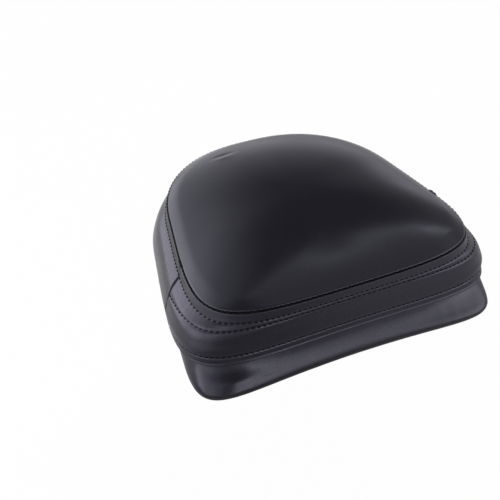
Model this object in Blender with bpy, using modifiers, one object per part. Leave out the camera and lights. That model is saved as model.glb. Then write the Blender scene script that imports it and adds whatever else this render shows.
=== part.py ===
"""Upholstered backrest pad for a motorbike's sissy bar, lying on its back with its face up.

Metres, +Z up, +X along the straight lower edge, +Y towards the arch. Every layer of the cover
follows one wall: a stack of D-shaped outlines, from the board's edge up to the seam of the face
panel. A layer is placed by how far it stands out from that wall or lies inside it.
"""
from collections import namedtuple
from math import cos, pi, sin

import bmesh
import bpy
import numpy as np
from mathutils import Vector

MM = 0.001

# Layers and the room between them
VINYL = 0.9 * MM
CLEARANCE = 0.35 * MM
JOIN_GAP = 0.4 * MM

# The D-shaped plan: its widest station, the sides that close in towards the arch, the arch's fullness
HALF_WIDTH = 113.0 * MM
DEPTH = 233.6 * MM
SHOULDER = 142.3 * MM
SIDE_TAPER = 1.92 / (1000 * MM)
ARCH_FULLNESS = 2.5

# Heights of the seams, from the surface that the pad lies on
EDGE_HEIGHT = 8.0 * MM
HEM_HEIGHT = 28.5 * MM
HEM_STITCH_RISE = 7.1 * MM
FACE_SEAM_HEIGHT = 72.0 * MM
TUCK_DROP = 8.3 * MM
TUCK_MIDDLE = 6.0 * MM
TUCK_END = 10.5 * MM
ARCH_STITCH_DROP = 8.3 * MM

# Crown of the face panel above its seam
CROWN_HEIGHT = 25.4 * MM
CROWN_SPREAD = 2.05
CROWN_SHOULDER = 0.88
CROWN_OVERHANG = 0.1 * MM
PANEL_ROLL = 1.8 * MM
PINCH_LIFT = 0.5 * MM
PANEL_TUCK = 6.0 * MM

# Upper edge of the bands, drawn in to the face seam
BAND_LIP = 0.5 * MM
BAND_LIP_DROP = 2.4 * MM

# Relief of the bands: stitch grooves, the soft roll over the hem and the slanted corner seam
GROOVE = 0.8 * MM
GROOVE_HALF_WIDTH = 1.3 * MM
ROLL = 2.1 * MM
ROLL_RISE = 3.2 * MM
ROLL_FOOT = 0.35
BELLY = 0.6 * MM
BELLY_FOOT = 0.4
CORNER_SEAM_TOP = 87.0 * MM
CORNER_SEAM_SLANT = 0.5
CORNER_SEAM_DIP = 0.6 * MM
CORNER_SEAM_SPREAD = 2.5 * MM

# Hem fold, skirt and its turn onto the back
FOLD_RADIUS = 1.3 * MM
FOLD_OVERLAP = 3.0 * MM
SKIRT_TUCK = 6.0 * MM
SKIRT_NECK = 0.45 * MM
EDGE_RADIUS = 7.9 * MM
BACK_HEM = 22.0 * MM

# Back board, the low land that the hem leaves bare on its underside, and its four tee nuts
BOARD_THICKNESS = 9.0 * MM
LAND_MARGIN = 2.0 * MM
LAND_DROP = 0.3 * MM
BOLT_SPREAD_X = 100.0 * MM
BOLT_SPREAD_Y = 60.0 * MM
BOLT_CENTRE_Y = 108.0 * MM
FLANGE_RADIUS = 11.0 * MM
FLANGE_THICKNESS = 1.3 * MM
BARREL_RADIUS = 5.0 * MM
BORE_RADIUS = 3.4 * MM
NUT_SHORT = 0.6 * MM
CUTTER_REACH = 1.0 * MM
BOARD_BOTTOM = VINYL + CLEARANCE
BOARD_TOP = BOARD_BOTTOM + BOARD_THICKNESS

# Steps in the foam's side, where the panel's edge, the skirt's edge and the hem lie against it
FOAM_STEP_GAP = 1.0 * MM
FOAM_STEP = 2.0 * MM

# Samples round half of the plan, and how strongly they gather where it bends
FRONT_SAMPLES = 17
ARCH_SAMPLES = 15
CURVE_STEPS = 120
TURN_WEIGHT = 22.0 * MM
TURNED_STEPS = 18
MERGE = 0.01 * MM

# Rows down the cover: shares of the way from the crown's top to the seam, from the band's edge to the
# end of its lip, and from the hem to the board's edge
CROWN_SHARES = (0.0, 0.22, 0.42, 0.6, 0.75, 0.86, 0.935, 0.98)
LIP_SHARES = (0.0, 0.35, 1.0)
FLARE_SHARES = (0.0, 0.2, 0.35, 0.65)
ROLL_STEPS = 2
FOLD_STEPS = 4
EDGE_STEPS = 3

# One outline of the wall: its height, how far its sides stand out from HALF_WIDTH, where its front
# corner lies, how far its apex falls short of DEPTH, how square its corner is, how hollow its front is
Level = namedtuple("Level", "height widen front short corner hollow")
HEM_STITCH_HEIGHT = HEM_HEIGHT + HEM_STITCH_RISE
TUCK_TOP = FACE_SEAM_HEIGHT - TUCK_DROP
WALL = (
    Level(EDGE_HEIGHT, 0.0, -11.2 * MM, 0.0, 7.5, 10.7 * MM),
    Level(HEM_HEIGHT, 6.8 * MM, -2.3 * MM, 2.3 * MM, 5.0, 7.8 * MM),
    Level(HEM_STITCH_HEIGHT, 7.6 * MM, 1.3 * MM, 2.6 * MM, 5.0, 5.4 * MM),
    Level(TUCK_TOP - TUCK_MIDDLE, 1.6 * MM, 3.0 * MM, 3.0 * MM, 4.6, 4.4 * MM),
    Level(TUCK_TOP, -4.2 * MM, 6.1 * MM, 4.8 * MM, 4.7, 0.9 * MM),
    Level(FACE_SEAM_HEIGHT, -6.4 * MM, 10.4 * MM, 7.0 * MM, 4.87, -3.1 * MM),
)
HEIGHTS = [level.height for level in WALL]
SLOPES = [np.gradient([level[k] for level in WALL], HEIGHTS) for k in range(len(Level._fields))]


def ease(share):
    """Smooth step from 0 to 1."""
    share = min(max(share, 0.0), 1.0)
    return share * share * (3 - 2 * share)


def level_at(height):
    """The wall's outline values at any height, on smooth curves through the levels."""
    height = min(max(height, HEIGHTS[0]), HEIGHTS[-1])
    low = min(int(np.searchsorted(HEIGHTS, height, side="right")) - 1, len(WALL) - 2)
    span = HEIGHTS[low + 1] - HEIGHTS[low]
    t = (height - HEIGHTS[low]) / span
    rise = ease(t)
    leave = t * (1 - t) ** 2 * span
    arrive = t * t * (t - 1) * span
    values = []
    for below, above, slope in zip(WALL[low], WALL[low + 1], SLOPES):
        values.append(below + (above - below) * rise + slope[low] * leave + slope[low + 1] * arrive)
    return Level(*values)


def quarter(across, along, power):
    """A quarter of a superellipse, from the middle of its end to its widest place."""
    turn = 0.5 ** (1 / power)
    near = np.linspace(0, turn, CURVE_STEPS)
    far = np.linspace(turn, 0, CURVE_STEPS)[1:]
    x = np.concatenate((near, (1 - far ** power) ** (1 / power)))
    y = np.concatenate(((1 - near ** power) ** (1 / power), far))
    return x * across, y * along


def half_plan(height, out=0.0, shrink=0.0):
    """The right half of the outline, from the middle of the front to the apex of the arch.

    It is drawn smaller all round by shrink, and then set out from that line by out.
    """
    level = level_at(height)
    half = HALF_WIDTH + level.widen - shrink
    front_reach = SHOULDER - level.front - shrink
    arch_reach = DEPTH - level.short - SHOULDER - shrink
    x, y = quarter(half, front_reach, level.corner)
    y = -y + level.hollow * (1 - (x / half) ** 2) * y / front_reach
    arch_x, arch_y = quarter(half, arch_reach, ARCH_FULLNESS)
    x = np.concatenate((x, arch_x[::-1][1:]))
    y = np.concatenate((y, arch_y[::-1][1:]))
    x = x * (1 - SIDE_TAPER * y)
    run_x, run_y = np.gradient(x), np.gradient(y)
    run_y[[0, -1]] = 0.0
    length = np.hypot(run_x, run_y)
    return np.stack((x + out * run_y / length, y + SHOULDER - out * run_x / length), axis=1)


def corner_seam(height):
    """Where the slanted seam between the bands crosses the side at a height."""
    return CORNER_SEAM_TOP - CORNER_SEAM_SLANT * (FACE_SEAM_HEIGHT - height)


def spaced(plan, count):
    """Points along an outline, closer together where it bends."""
    step = np.diff(plan, axis=0)
    heading = np.unwrap(np.arctan2(step[:, 1], step[:, 0]))
    bend = np.abs(np.diff(heading, append=heading[-1]))
    measure = np.concatenate(([0.0], np.cumsum(np.hypot(step[:, 0], step[:, 1]) + TURN_WEIGHT * bend)))
    places = np.linspace(0, measure[-1], count)
    return [tuple(float(np.interp(place, measure, plan[:, k])) for k in (0, 1)) for place in places]


def stations(plan, height, stretch):
    """Evenly spread points on the part of an outline that one band covers: front or arch."""
    side = JOIN_GAP / 2 if stretch == "arch" else -JOIN_GAP / 2
    place = corner_seam(height) + side
    index = int(np.argmax(plan[:, 1] >= place))
    before, after = plan[index - 1], plan[index]
    end = before + (after - before) * (place - before[1]) / (after[1] - before[1])
    if stretch == "front":
        return spaced(np.vstack((plan[:index], end)), FRONT_SAMPLES)
    return spaced(np.vstack((end, plan[index:])), ARCH_SAMPLES)


def dip_at(x, y, height):
    """How far every layer is drawn in where the slanted seam pulls."""
    if x < HALF_WIDTH / 2:
        return 0.0
    away = (y - corner_seam(height)) / CORNER_SEAM_SPREAD
    fade = ease((height - HEM_STITCH_HEIGHT) / (2 * ROLL_RISE))
    return CORNER_SEAM_DIP * fade * float(np.exp(-away * away))


def row_points(height, out, stretch, shrink=0.0):
    """Points of one stretch at one height, drawn in at the slanted seam."""
    points = stations(half_plan(height, out, shrink), height, stretch)
    return [(x - dip_at(x, y, height), y, height) for x, y in points]


def ring(height, out=0.0, shrink=0.0):
    """A row of points round half of the pad, at one height, with stations like the bands'."""
    front = row_points(height, out, "front", shrink)
    return front + row_points(height, out, "arch", shrink)[1:]


def band_row(height, out, stretch):
    """A row along one band. Its height may follow the band."""
    if not callable(height):
        return row_points(height, out, stretch)
    shares = [index / (FRONT_SAMPLES - 1) for index in range(FRONT_SAMPLES)]
    return [row_points(height(share), out, stretch)[k] for k, share in enumerate(shares)]


def tuck_low(share):
    """Height of the lower tuck row: the tuck is narrow in mid-front and wide at the slanted seam."""
    return TUCK_TOP - TUCK_MIDDLE - (TUCK_END - TUCK_MIDDLE) * ease(share)


def collection(name):
    group = bpy.data.collections.new(name)
    bpy.context.scene.collection.children.link(group)
    return group


def material(name, colour, roughness, metallic=0.0):
    made = bpy.data.materials.new(name)
    made.use_nodes = True
    shader = made.node_tree.nodes["Principled BSDF"]
    shader.inputs["Base Color"].default_value = (*colour, 1.0)
    shader.inputs["Roughness"].default_value = roughness
    shader.inputs["Metallic"].default_value = metallic
    made.diffuse_color = (*colour, 1.0)
    return made


def add(name, mesh, group, finish=None):
    thing = bpy.data.objects.new(name, mesh)
    if finish:
        mesh.materials.append(finish)
    group.objects.link(thing)
    return thing


def mirror(thing):
    made = thing.modifiers.new("both halves", "MIRROR")
    made.use_axis = (True, False, False)
    made.use_clip = True
    made.merge_threshold = MERGE


def thicken(thing, thickness):
    made = thing.modifiers.new("thickness", "SOLIDIFY")
    made.thickness = thickness
    made.offset = -1.0
    made.use_even_offset = True
    made.use_quality_normals = True


def surface(rows):
    """A sheet of faces through rows of points."""
    sheet = bmesh.new()
    lines = [[sheet.verts.new(point) for point in row] for row in rows]
    for upper, lower in zip(lines, lines[1:]):
        for k in range(len(upper) - 1):
            sheet.faces.new((upper[k], lower[k], lower[k + 1], upper[k + 1]))
    sheet.verts.ensure_lookup_table()
    return sheet


def block(name, rows, group, finish):
    """A closed solid through whole outlines, from its top down, with flat ends."""
    whole = [row + [(-x, y, z) for x, y, z in row[-2:0:-1]] for row in rows]
    solid = surface([row + [row[0]] for row in whole])
    bmesh.ops.remove_doubles(solid, verts=solid.verts, dist=MERGE)
    rims = [edge for edge in solid.edges if edge.is_boundary]
    bmesh.ops.contextual_create(solid, geom=rims)
    mesh = bpy.data.meshes.new(name)
    solid.to_mesh(mesh)
    solid.free()
    return add(name, mesh, group, finish)


def loft(name, rows, group, finish):
    """An open half surface through rows of points, mirrored about the middle of the pad."""
    grid = surface(rows)
    bmesh.ops.remove_doubles(grid, verts=grid.verts, dist=MERGE)
    mesh = bpy.data.meshes.new(name)
    grid.to_mesh(mesh)
    grid.free()
    mesh.shade_smooth()
    thing = add(name, mesh, group, finish)
    mirror(thing)
    return thing


def crown_rows():
    """Rings of the crown, from its top down to the seam."""
    edge = ring(FACE_SEAM_HEIGHT, CROWN_OVERHANG)
    centre_y = (edge[0][1] + edge[-1][1]) / 2
    rows = []
    foot = PINCH_LIFT + PANEL_ROLL
    for share in CROWN_SHARES:
        lift = foot + (CROWN_HEIGHT - foot) * (1 - share ** CROWN_SPREAD) ** CROWN_SHOULDER
        rows.append([(x * share, centre_y + (y - centre_y) * share, z + lift) for x, y, z in edge])
    return rows


def panel_rows():
    """The face panel's outer side: crown, pinch at the seam and the edge tucked down inside."""
    rows = crown_rows()
    leg = -(VINYL + BAND_LIP + CLEARANCE)
    for step in range(ROLL_STEPS + 1):
        angle = pi / 2 * step / ROLL_STEPS
        out = leg + (CROWN_OVERHANG - leg) * cos(angle)
        rows.append(raised(ring(FACE_SEAM_HEIGHT, out), PINCH_LIFT + PANEL_ROLL * (1 - sin(angle))))
    rows.append(ring(FACE_SEAM_HEIGHT - PANEL_TUCK, leg))
    return rows


def raised(row, lift):
    return [(x, y, z + lift) for x, y, z in row]


def top_edge(stretch):
    """The band's upper edge, rolled in towards the face panel's seam."""
    rows = []
    for share in LIP_SHARES:
        rows.append(band_row(FACE_SEAM_HEIGHT - BAND_LIP_DROP * share, -BAND_LIP * (1 - share) ** 2, stretch))
    return rows


def hem_edge(stretch):
    """The band's lower edge: the hem's stitch row, the fold and the turned-up layer inside."""
    inner = -2 * FOLD_RADIUS
    centre = HEM_HEIGHT + FOLD_RADIUS
    rows = [
        band_row(HEM_STITCH_HEIGHT + ROLL_RISE, ROLL, stretch),
        band_row(HEM_STITCH_HEIGHT + GROOVE_HALF_WIDTH, ROLL_FOOT * ROLL, stretch),
        band_row(HEM_STITCH_HEIGHT, -GROOVE, stretch),
        band_row(HEM_STITCH_HEIGHT - GROOVE_HALF_WIDTH, 0.0, stretch),
    ]
    for step in range(FOLD_STEPS + 1):
        angle = pi * step / FOLD_STEPS
        out = -FOLD_RADIUS * (1 - cos(angle))
        rows.append(raised(band_row(centre, out, stretch), -FOLD_RADIUS * sin(angle)))
    rows.append(band_row(HEM_STITCH_HEIGHT - GROOVE_HALF_WIDTH, inner, stretch))
    rows.append(band_row(HEM_STITCH_HEIGHT, inner - GROOVE, stretch))
    rows.append(band_row(HEM_STITCH_HEIGHT + FOLD_OVERLAP, inner - GROOVE / 2, stretch))
    return rows


def front_band_rows():
    stretch = "front"
    rows = top_edge(stretch)
    rows.append(band_row(TUCK_TOP + GROOVE_HALF_WIDTH, 0.0, stretch))
    rows.append(band_row(TUCK_TOP, -GROOVE, stretch))
    rows.append(band_row(TUCK_TOP - GROOVE_HALF_WIDTH, 0.0, stretch))
    rows.append(band_row(lambda share: tuck_low(share) + GROOVE_HALF_WIDTH, 0.0, stretch))
    rows.append(band_row(tuck_low, -GROOVE, stretch))
    rows.append(band_row(lambda share: tuck_low(share) - GROOVE_HALF_WIDTH, BELLY_FOOT * BELLY, stretch))
    roll_top = HEM_STITCH_HEIGHT + ROLL_RISE
    rows.append(band_row(lambda share: (tuck_low(share) + roll_top) / 2, BELLY, stretch))
    return rows + hem_edge(stretch)


def arch_band_rows():
    stretch = "arch"
    rows = top_edge(stretch)
    stitch = FACE_SEAM_HEIGHT - ARCH_STITCH_DROP
    rows.append(band_row(stitch + GROOVE_HALF_WIDTH, 0.0, stretch))
    rows.append(band_row(stitch, -GROOVE, stretch))
    rows.append(band_row(stitch - GROOVE_HALF_WIDTH, BELLY_FOOT * BELLY, stretch))
    rows.append(band_row((stitch + HEM_STITCH_HEIGHT) / 2, BELLY, stretch))
    return rows + hem_edge(stretch)


def skirt_rows():
    """The skirt's outer side: tucked behind the hem, flared to the edge, turned onto the back."""
    behind_hem = -(2 * FOLD_RADIUS + CLEARANCE)
    behind_stitch = behind_hem - GROOVE
    rows = [
        ring(HEM_STITCH_HEIGHT + SKIRT_TUCK, behind_stitch),
        ring(HEM_STITCH_HEIGHT - GROOVE_HALF_WIDTH, behind_stitch),
    ]
    for share in FLARE_SHARES:
        rest = (1 - share) ** 2
        height = HEM_HEIGHT - share * (HEM_HEIGHT - EDGE_HEIGHT)
        rows.append(ring(height, behind_hem * rest - SKIRT_NECK * sin(pi * rest)))
    for step in range(EDGE_STEPS + 1):
        angle = pi / 2 * step / EDGE_STEPS
        height = EDGE_RADIUS * (1 - sin(angle))
        rows.append(ring(height, -EDGE_RADIUS * (1 - cos(angle))))
    rows.append(ring(0.0, -EDGE_RADIUS, BACK_HEM / 2))
    rows.append(ring(0.0, -EDGE_RADIUS, BACK_HEM))
    return rows


def inside(rows, distance):
    """Rows that lie a distance inside the surface through the given rows."""
    sheet = surface(rows)
    sheet.normal_update()
    moved = []
    for index, row in enumerate(rows):
        line = []
        for k, point in enumerate(row):
            vertex = sheet.verts[index * len(row) + k]
            normal = vertex.normal.copy()
            if index == 0:
                normal = Vector((0.0, 0.0, 1.0))
            if abs(point[0]) < MERGE:
                normal.x = 0.0
                normal.normalize()
            line.append(tuple(Vector(point) - normal * distance))
        moved.append(line)
    sheet.free()
    return moved


def foam_rows():
    """The foam's outer side under the panel and behind the bands, and its flat foot."""
    leg_back = -(2 * VINYL + BAND_LIP + 3 * CLEARANCE)
    band_back = -(VINYL + GROOVE + 3 * CLEARANCE)
    hem_back = -(2 * FOLD_RADIUS + GROOVE + 3 * CLEARANCE + VINYL)
    tuck_end = FACE_SEAM_HEIGHT - PANEL_TUCK
    hem_end = HEM_STITCH_HEIGHT + SKIRT_TUCK
    foot = BOARD_TOP + CLEARANCE
    rows = inside(crown_rows(), VINYL + 2 * CLEARANCE)[:-1]
    rows.append(raised(ring(FACE_SEAM_HEIGHT, leg_back), PINCH_LIFT - VINYL))
    rows.append(ring(tuck_end - FOAM_STEP_GAP, leg_back))
    rows.append(ring(tuck_end - FOAM_STEP_GAP - FOAM_STEP, band_back))
    rows.append(ring((tuck_end + hem_end) / 2, band_back))
    rows.append(ring(hem_end + FOAM_STEP_GAP + FOAM_STEP, band_back))
    rows.append(ring(hem_end + FOAM_STEP_GAP, hem_back))
    rows.append(ring(HEM_HEIGHT, hem_back))
    rows.append(ring((HEM_HEIGHT + foot) / 2, hem_back))
    rows.append(ring(foot, -VINYL - 3 * CLEARANCE))
    return rows


def turned(name, profile, group, finish=None):
    """A turned piece: a closed or open profile on the +X side, swept once round Z."""
    mesh = bpy.data.meshes.new(name)
    count = len(profile)
    closed = profile[0][0] > MERGE
    edges = [(k, k + 1) for k in range(count - 1)]
    if closed:
        edges.append((count - 1, 0))
    mesh.from_pydata([(radius, 0.0, height) for radius, height in profile], edges, [])
    thing = add(name, mesh, group, finish)
    made = thing.modifiers.new("turn", "SCREW")
    made.steps = TURNED_STEPS
    made.render_steps = TURNED_STEPS
    made.use_merge_vertices = True
    made.merge_threshold = MERGE
    made.use_smooth_shade = False
    return thing


def bolt_places():
    for x in (-BOLT_SPREAD_X / 2, BOLT_SPREAD_X / 2):
        for y in (BOLT_CENTRE_Y - BOLT_SPREAD_Y / 2, BOLT_CENTRE_Y + BOLT_SPREAD_Y / 2):
            yield x, y


def tee_nut(number, place, group, finish):
    """A round-base tee nut: its flange sits flush in the board's upper side."""
    low = BOARD_BOTTOM + NUT_SHORT
    profile = (
        (FLANGE_RADIUS, BOARD_TOP),
        (FLANGE_RADIUS, BOARD_TOP - FLANGE_THICKNESS),
        (BARREL_RADIUS, BOARD_TOP - FLANGE_THICKNESS),
        (BARREL_RADIUS, low),
        (BORE_RADIUS, low),
        (BORE_RADIUS, BOARD_TOP),
    )
    nut = turned(f"tee_nut_{number}", profile, group, finish)
    nut.location = (*place, 0.0)
    return nut


def seat_cutter(number, place, group):
    """The stepped hole that a tee nut sits in."""
    above = BOARD_TOP + CUTTER_REACH
    below = BOARD_BOTTOM - CUTTER_REACH
    step = BOARD_TOP - FLANGE_THICKNESS - CLEARANCE
    profile = (
        (0.0, above),
        (FLANGE_RADIUS + CLEARANCE, above),
        (FLANGE_RADIUS + CLEARANCE, step),
        (BARREL_RADIUS + CLEARANCE, step),
        (BARREL_RADIUS + CLEARANCE, below),
        (0.0, below),
    )
    cutter = turned(f"seat_{number}", profile, group)
    cutter.location = (*place, 0.0)
    cutter.hide_render = True
    cutter.display_type = "WIRE"
    return cutter


def board_rows():
    """The stiff board's edge follows the skirt round the turn. Under it, a low land meets the bracket."""
    turn = EDGE_RADIUS - BOARD_BOTTOM
    rows = [ring(BOARD_TOP, -VINYL - 2 * CLEARANCE)]
    for step in range(EDGE_STEPS + 1):
        angle = pi / 2 * step / EDGE_STEPS
        height = EDGE_RADIUS - turn * sin(angle)
        rows.append(ring(height, -EDGE_RADIUS + turn * cos(angle)))
    rows.append(ring(BOARD_BOTTOM, -EDGE_RADIUS, BACK_HEM + LAND_MARGIN))
    rows.append(ring(BOARD_BOTTOM - LAND_DROP, -EDGE_RADIUS, BACK_HEM + LAND_MARGIN + LAND_DROP))
    return rows


def cut(thing, cutter):
    made = thing.modifiers.new(cutter.name, "BOOLEAN")
    made.operation = "DIFFERENCE"
    made.solver = "EXACT"
    made.object = cutter


def build():
    for thing in list(bpy.data.objects):
        bpy.data.objects.remove(thing)
    pad = collection("sissy_bar_backrest_pad")
    cutters = collection("cutters")

    face = loft("face_panel", panel_rows(), pad, material("face vinyl", (0.020, 0.020, 0.024), 0.42))
    front = loft("front_band", front_band_rows(), pad, material("front vinyl", (0.022, 0.021, 0.026), 0.45))
    arch = loft("arch_band", arch_band_rows(), pad, material("arch vinyl", (0.022, 0.022, 0.027), 0.42))
    skirt = loft("skirt", skirt_rows(), pad, material("skirt vinyl", (0.024, 0.023, 0.028), 0.42))
    for layer in (face, front, arch, skirt):
        thicken(layer, VINYL)
    foam = block("foam_core", foam_rows(), pad, material("foam", (0.62, 0.55, 0.38), 0.95))
    board = block("back_board", board_rows(), pad, material("board", (0.33, 0.22, 0.12), 0.8))
    steel = material("zinc plate", (0.72, 0.70, 0.62), 0.35, 1.0)
    things = [face, front, arch, skirt, foam, board]
    for number, place in enumerate(bolt_places(), start=1):
        things.append(tee_nut(number, place, pad, steel))
        cutter = seat_cutter(number, place, cutters)
        cut(board, cutter)
        things.append(cutter)

    edge = half_plan(EDGE_HEIGHT)[:, 1]
    middle = (edge.min() + edge.max()) / 2
    for thing in things:
        thing.location.y -= middle


build()
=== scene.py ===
# %% [markdown]
# # An upholstered sissy bar backrest pad
# The pad is a D-shaped cushion in black synthetic leather, lying on its back with its face up. This
# file dresses the measured solids: each layer of the cover becomes a finely lofted sheet with its
# seams, stitches and puckers, and the hidden hardware gets real finishes. Everything is in metres,
# with Z up and the straight lower edge of the pad facing -Y.

from math import cos, pi, radians, sin

import bmesh
import bpy
import numpy as np
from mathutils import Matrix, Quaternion, Vector


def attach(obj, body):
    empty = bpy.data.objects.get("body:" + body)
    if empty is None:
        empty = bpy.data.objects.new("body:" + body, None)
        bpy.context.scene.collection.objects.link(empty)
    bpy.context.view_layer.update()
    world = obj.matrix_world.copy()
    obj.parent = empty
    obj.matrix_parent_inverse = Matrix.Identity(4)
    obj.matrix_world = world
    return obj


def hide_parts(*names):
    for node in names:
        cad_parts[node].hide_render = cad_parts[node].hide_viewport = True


MM = 0.001
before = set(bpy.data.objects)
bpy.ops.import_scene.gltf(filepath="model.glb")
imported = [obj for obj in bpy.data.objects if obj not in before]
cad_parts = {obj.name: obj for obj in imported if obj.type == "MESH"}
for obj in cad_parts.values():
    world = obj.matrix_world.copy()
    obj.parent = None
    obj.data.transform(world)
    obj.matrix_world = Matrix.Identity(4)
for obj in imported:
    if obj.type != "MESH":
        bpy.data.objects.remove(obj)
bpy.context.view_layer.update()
print("solids:", ", ".join(sorted(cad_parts)))

# %% [markdown]
# ## The camera
# A product photograph is taken from a little above and to one side. The camera circles a target near
# the middle of the pad, so three plain numbers place it: a turn, a rise and a distance. A long lens
# keeps the perspective mild.

# %% Camera
CAMERA_TURN = radians(-23.838)
CAMERA_RISE = radians(39.874)
CAMERA_DISTANCE = 0.8246
CAMERA_TARGET = Vector((-0.042506, 0.003858, 0.0379))
FOCAL_LENGTH = 68.39

back = Vector((sin(CAMERA_TURN) * cos(CAMERA_RISE), -cos(CAMERA_TURN) * cos(CAMERA_RISE), sin(CAMERA_RISE)))
camera = bpy.data.objects.new("camera", bpy.data.cameras.new("camera"))
camera.data.lens = FOCAL_LENGTH
camera.data.clip_start = 0.01
camera.location = CAMERA_TARGET + back * CAMERA_DISTANCE
camera.rotation_mode = "QUATERNION"
camera.rotation_quaternion = back.to_track_quat("Z", "Y")
bpy.context.scene.collection.objects.link(camera)
bpy.context.scene.camera = camera
print("camera at", [round(value, 3) for value in camera.location])

# %% [markdown]
# ## Small helpers for node trees
# Every finish below is a node tree. One helper adds a node and fills its inputs, with plain values or
# with links from other nodes. Another opens a node group, and the rest add the few kinds of node that
# nearly every finish needs: a sum, a noise, a range, a mix of two colours and a bump.

# %% Node helpers
WHITE = (1.0, 1.0, 1.0, 1.0)


def fill(tree, made, inputs):
    """Gives each input of a node, by name or number, a value or a link."""
    for key, value in inputs.items():
        if isinstance(value, bpy.types.NodeSocket):
            tree.links.new(value, made.inputs[key])
        else:
            made.inputs[key].default_value = value


def node(tree, kind, inputs=None, **settings):
    made = tree.nodes.new(kind)
    for key, value in settings.items():
        setattr(made, key, value)
    fill(tree, made, inputs or {})
    return made


def new_group(name, numbers, results):
    """A node group that takes a Vector and some numbers, and puts out other numbers."""
    tree = bpy.data.node_groups.new(name, "ShaderNodeTree")
    tree.interface.new_socket("Vector", in_out="INPUT", socket_type="NodeSocketVector")
    for label, value in numbers.items():
        socket = tree.interface.new_socket(label, in_out="INPUT", socket_type="NodeSocketFloat")
        socket.default_value = value
    for label in results:
        tree.interface.new_socket(label, in_out="OUTPUT", socket_type="NodeSocketFloat")
    print("group:", name)
    return tree, tree.nodes.new("NodeGroupInput"), tree.nodes.new("NodeGroupOutput")


# %% Common nodes
def maths(tree, operation, first, second):
    return node(tree, "ShaderNodeMath", {0: first, 1: second}, operation=operation).outputs[0]


def noise(tree, place, scale, detail, **more):
    inputs = {"Vector": place, "Scale": scale, "Detail": detail, **more}
    return node(tree, "ShaderNodeTexNoise", inputs).outputs["Fac"]


def fit(tree, value, old=(0.0, 1.0), new=(0.0, 1.0), **settings):
    """A value brought from an old range into a new one."""
    inputs = {"Value": value, "From Min": old[0], "From Max": old[1], "To Min": new[0], "To Max": new[1]}
    return node(tree, "ShaderNodeMapRange", inputs, **settings).outputs["Result"]


def fade(tree, value, old, new=(0.0, 1.0)):
    """The same as fit, with soft ends."""
    return fit(tree, value, old, new, interpolation_type="SMOOTHSTEP")


def mixed(tree, share, first, second, **settings):
    """A colour between two others."""
    inputs = {"Factor": share, "A": first, "B": second}
    return node(tree, "ShaderNodeMix", inputs, data_type="RGBA", **settings).outputs["Result"]


def mixed_shader(tree, share, first, second):
    inputs = {"Fac": share, 1: first.outputs[0], 2: second.outputs[0]}
    return node(tree, "ShaderNodeMixShader", inputs)


def bumps(tree, height, distance, strength=1.0):
    """The normal of a surface with fine relief."""
    inputs = {"Height": height, "Distance": distance, "Strength": strength}
    return node(tree, "ShaderNodeBump", inputs).outputs["Normal"]


def new_finish(name):
    """A new material, its node tree, its shader and the object's own coordinates."""
    made = bpy.data.materials.new(name)
    made.use_nodes = True
    tree = made.node_tree
    place = node(tree, "ShaderNodeTexCoord").outputs["Object"]
    print("finish:", name)
    return made, tree, tree.nodes["Principled BSDF"], place


# %% [markdown]
# ## Leather grain
# Synthetic leather is embossed with small pebbles that are parted by narrow creases. Voronoi cells are
# a good likeness: the distance to the nearest cell border is low in a crease and high on a pebble. The
# coordinates are bent by a soft noise first, so that no two pebbles are alike. Real grain is stretched
# where the cover is pulled, so a slow noise also makes it stronger and weaker from place to place.

# %% Grain group
GRAIN_BEND = (0.0012, 0.0012, 0.0012)

grain, grain_in, grain_out = new_group(
    "embossed grain", {"Pebbles": 900.0, "Crease": 0.16}, ("Height", "Pebble Tone")
)
place = grain_in.outputs["Vector"]
bend = node(grain, "ShaderNodeTexNoise", {"Vector": place, "Scale": 260.0, "Detail": 2.0})
shift = {0: bend.outputs["Color"], 1: GRAIN_BEND, 2: place}
bent = node(grain, "ShaderNodeVectorMath", shift, operation="MULTIPLY_ADD").outputs[0]
cells = {"Vector": bent, "Scale": grain_in.outputs["Pebbles"]}
border = node(grain, "ShaderNodeTexVoronoi", cells, feature="DISTANCE_TO_EDGE").outputs["Distance"]
cell = node(grain, "ShaderNodeTexVoronoi", cells, feature="F1").outputs["Color"]
pebble = fade(grain, border, (0.0, grain_in.outputs["Crease"]))
strength = fit(grain, noise(grain, place, 28.0, 2.0), (0.3, 0.7), (0.85, 1.0))
pores = maths(grain, "MULTIPLY", noise(grain, place, 3200.0, 1.0), 0.22)
relief = maths(grain, "ADD", maths(grain, "MULTIPLY", pebble, strength), pores)
tone = node(grain, "ShaderNodeSeparateColor", {"Color": cell}).outputs["Red"]
fill(grain, grain_out, {"Height": relief, "Pebble Tone": tone})

# %% [markdown]
# ## Handling and dust
# Nothing that has been made, packed and handled is evenly clean. This group gives three soft masks
# that any finish can use: broad smudges that change the gloss, small pale specks of dust, and a slow
# drift that varies the colour.

# %% Handling group
handling, handling_in, handling_out = new_group(
    "handling and dust", {"Smudge Scale": 30.0, "Speck Scale": 520.0}, ("Smudges", "Specks", "Drift")
)
place = handling_in.outputs["Vector"]
smudges = noise(handling, place, handling_in.outputs["Smudge Scale"], 4.0, Roughness=0.6)
specks = noise(handling, place, handling_in.outputs["Speck Scale"], 1.0)
masks = {
    "Smudges": fit(handling, smudges, (0.38, 0.66)),
    "Specks": fit(handling, specks, (0.70, 0.78)),
    "Drift": noise(handling, place, 7.0, 2.0),
}
fill(handling, handling_out, masks)


def handled(tree, place, smudge_scale, speck_scale):
    """The masks of the handling group in a finish."""
    inputs = {"Vector": place, "Smudge Scale": smudge_scale, "Speck Scale": speck_scale}
    return node(tree, "ShaderNodeGroup", inputs, node_tree=handling).outputs


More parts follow.
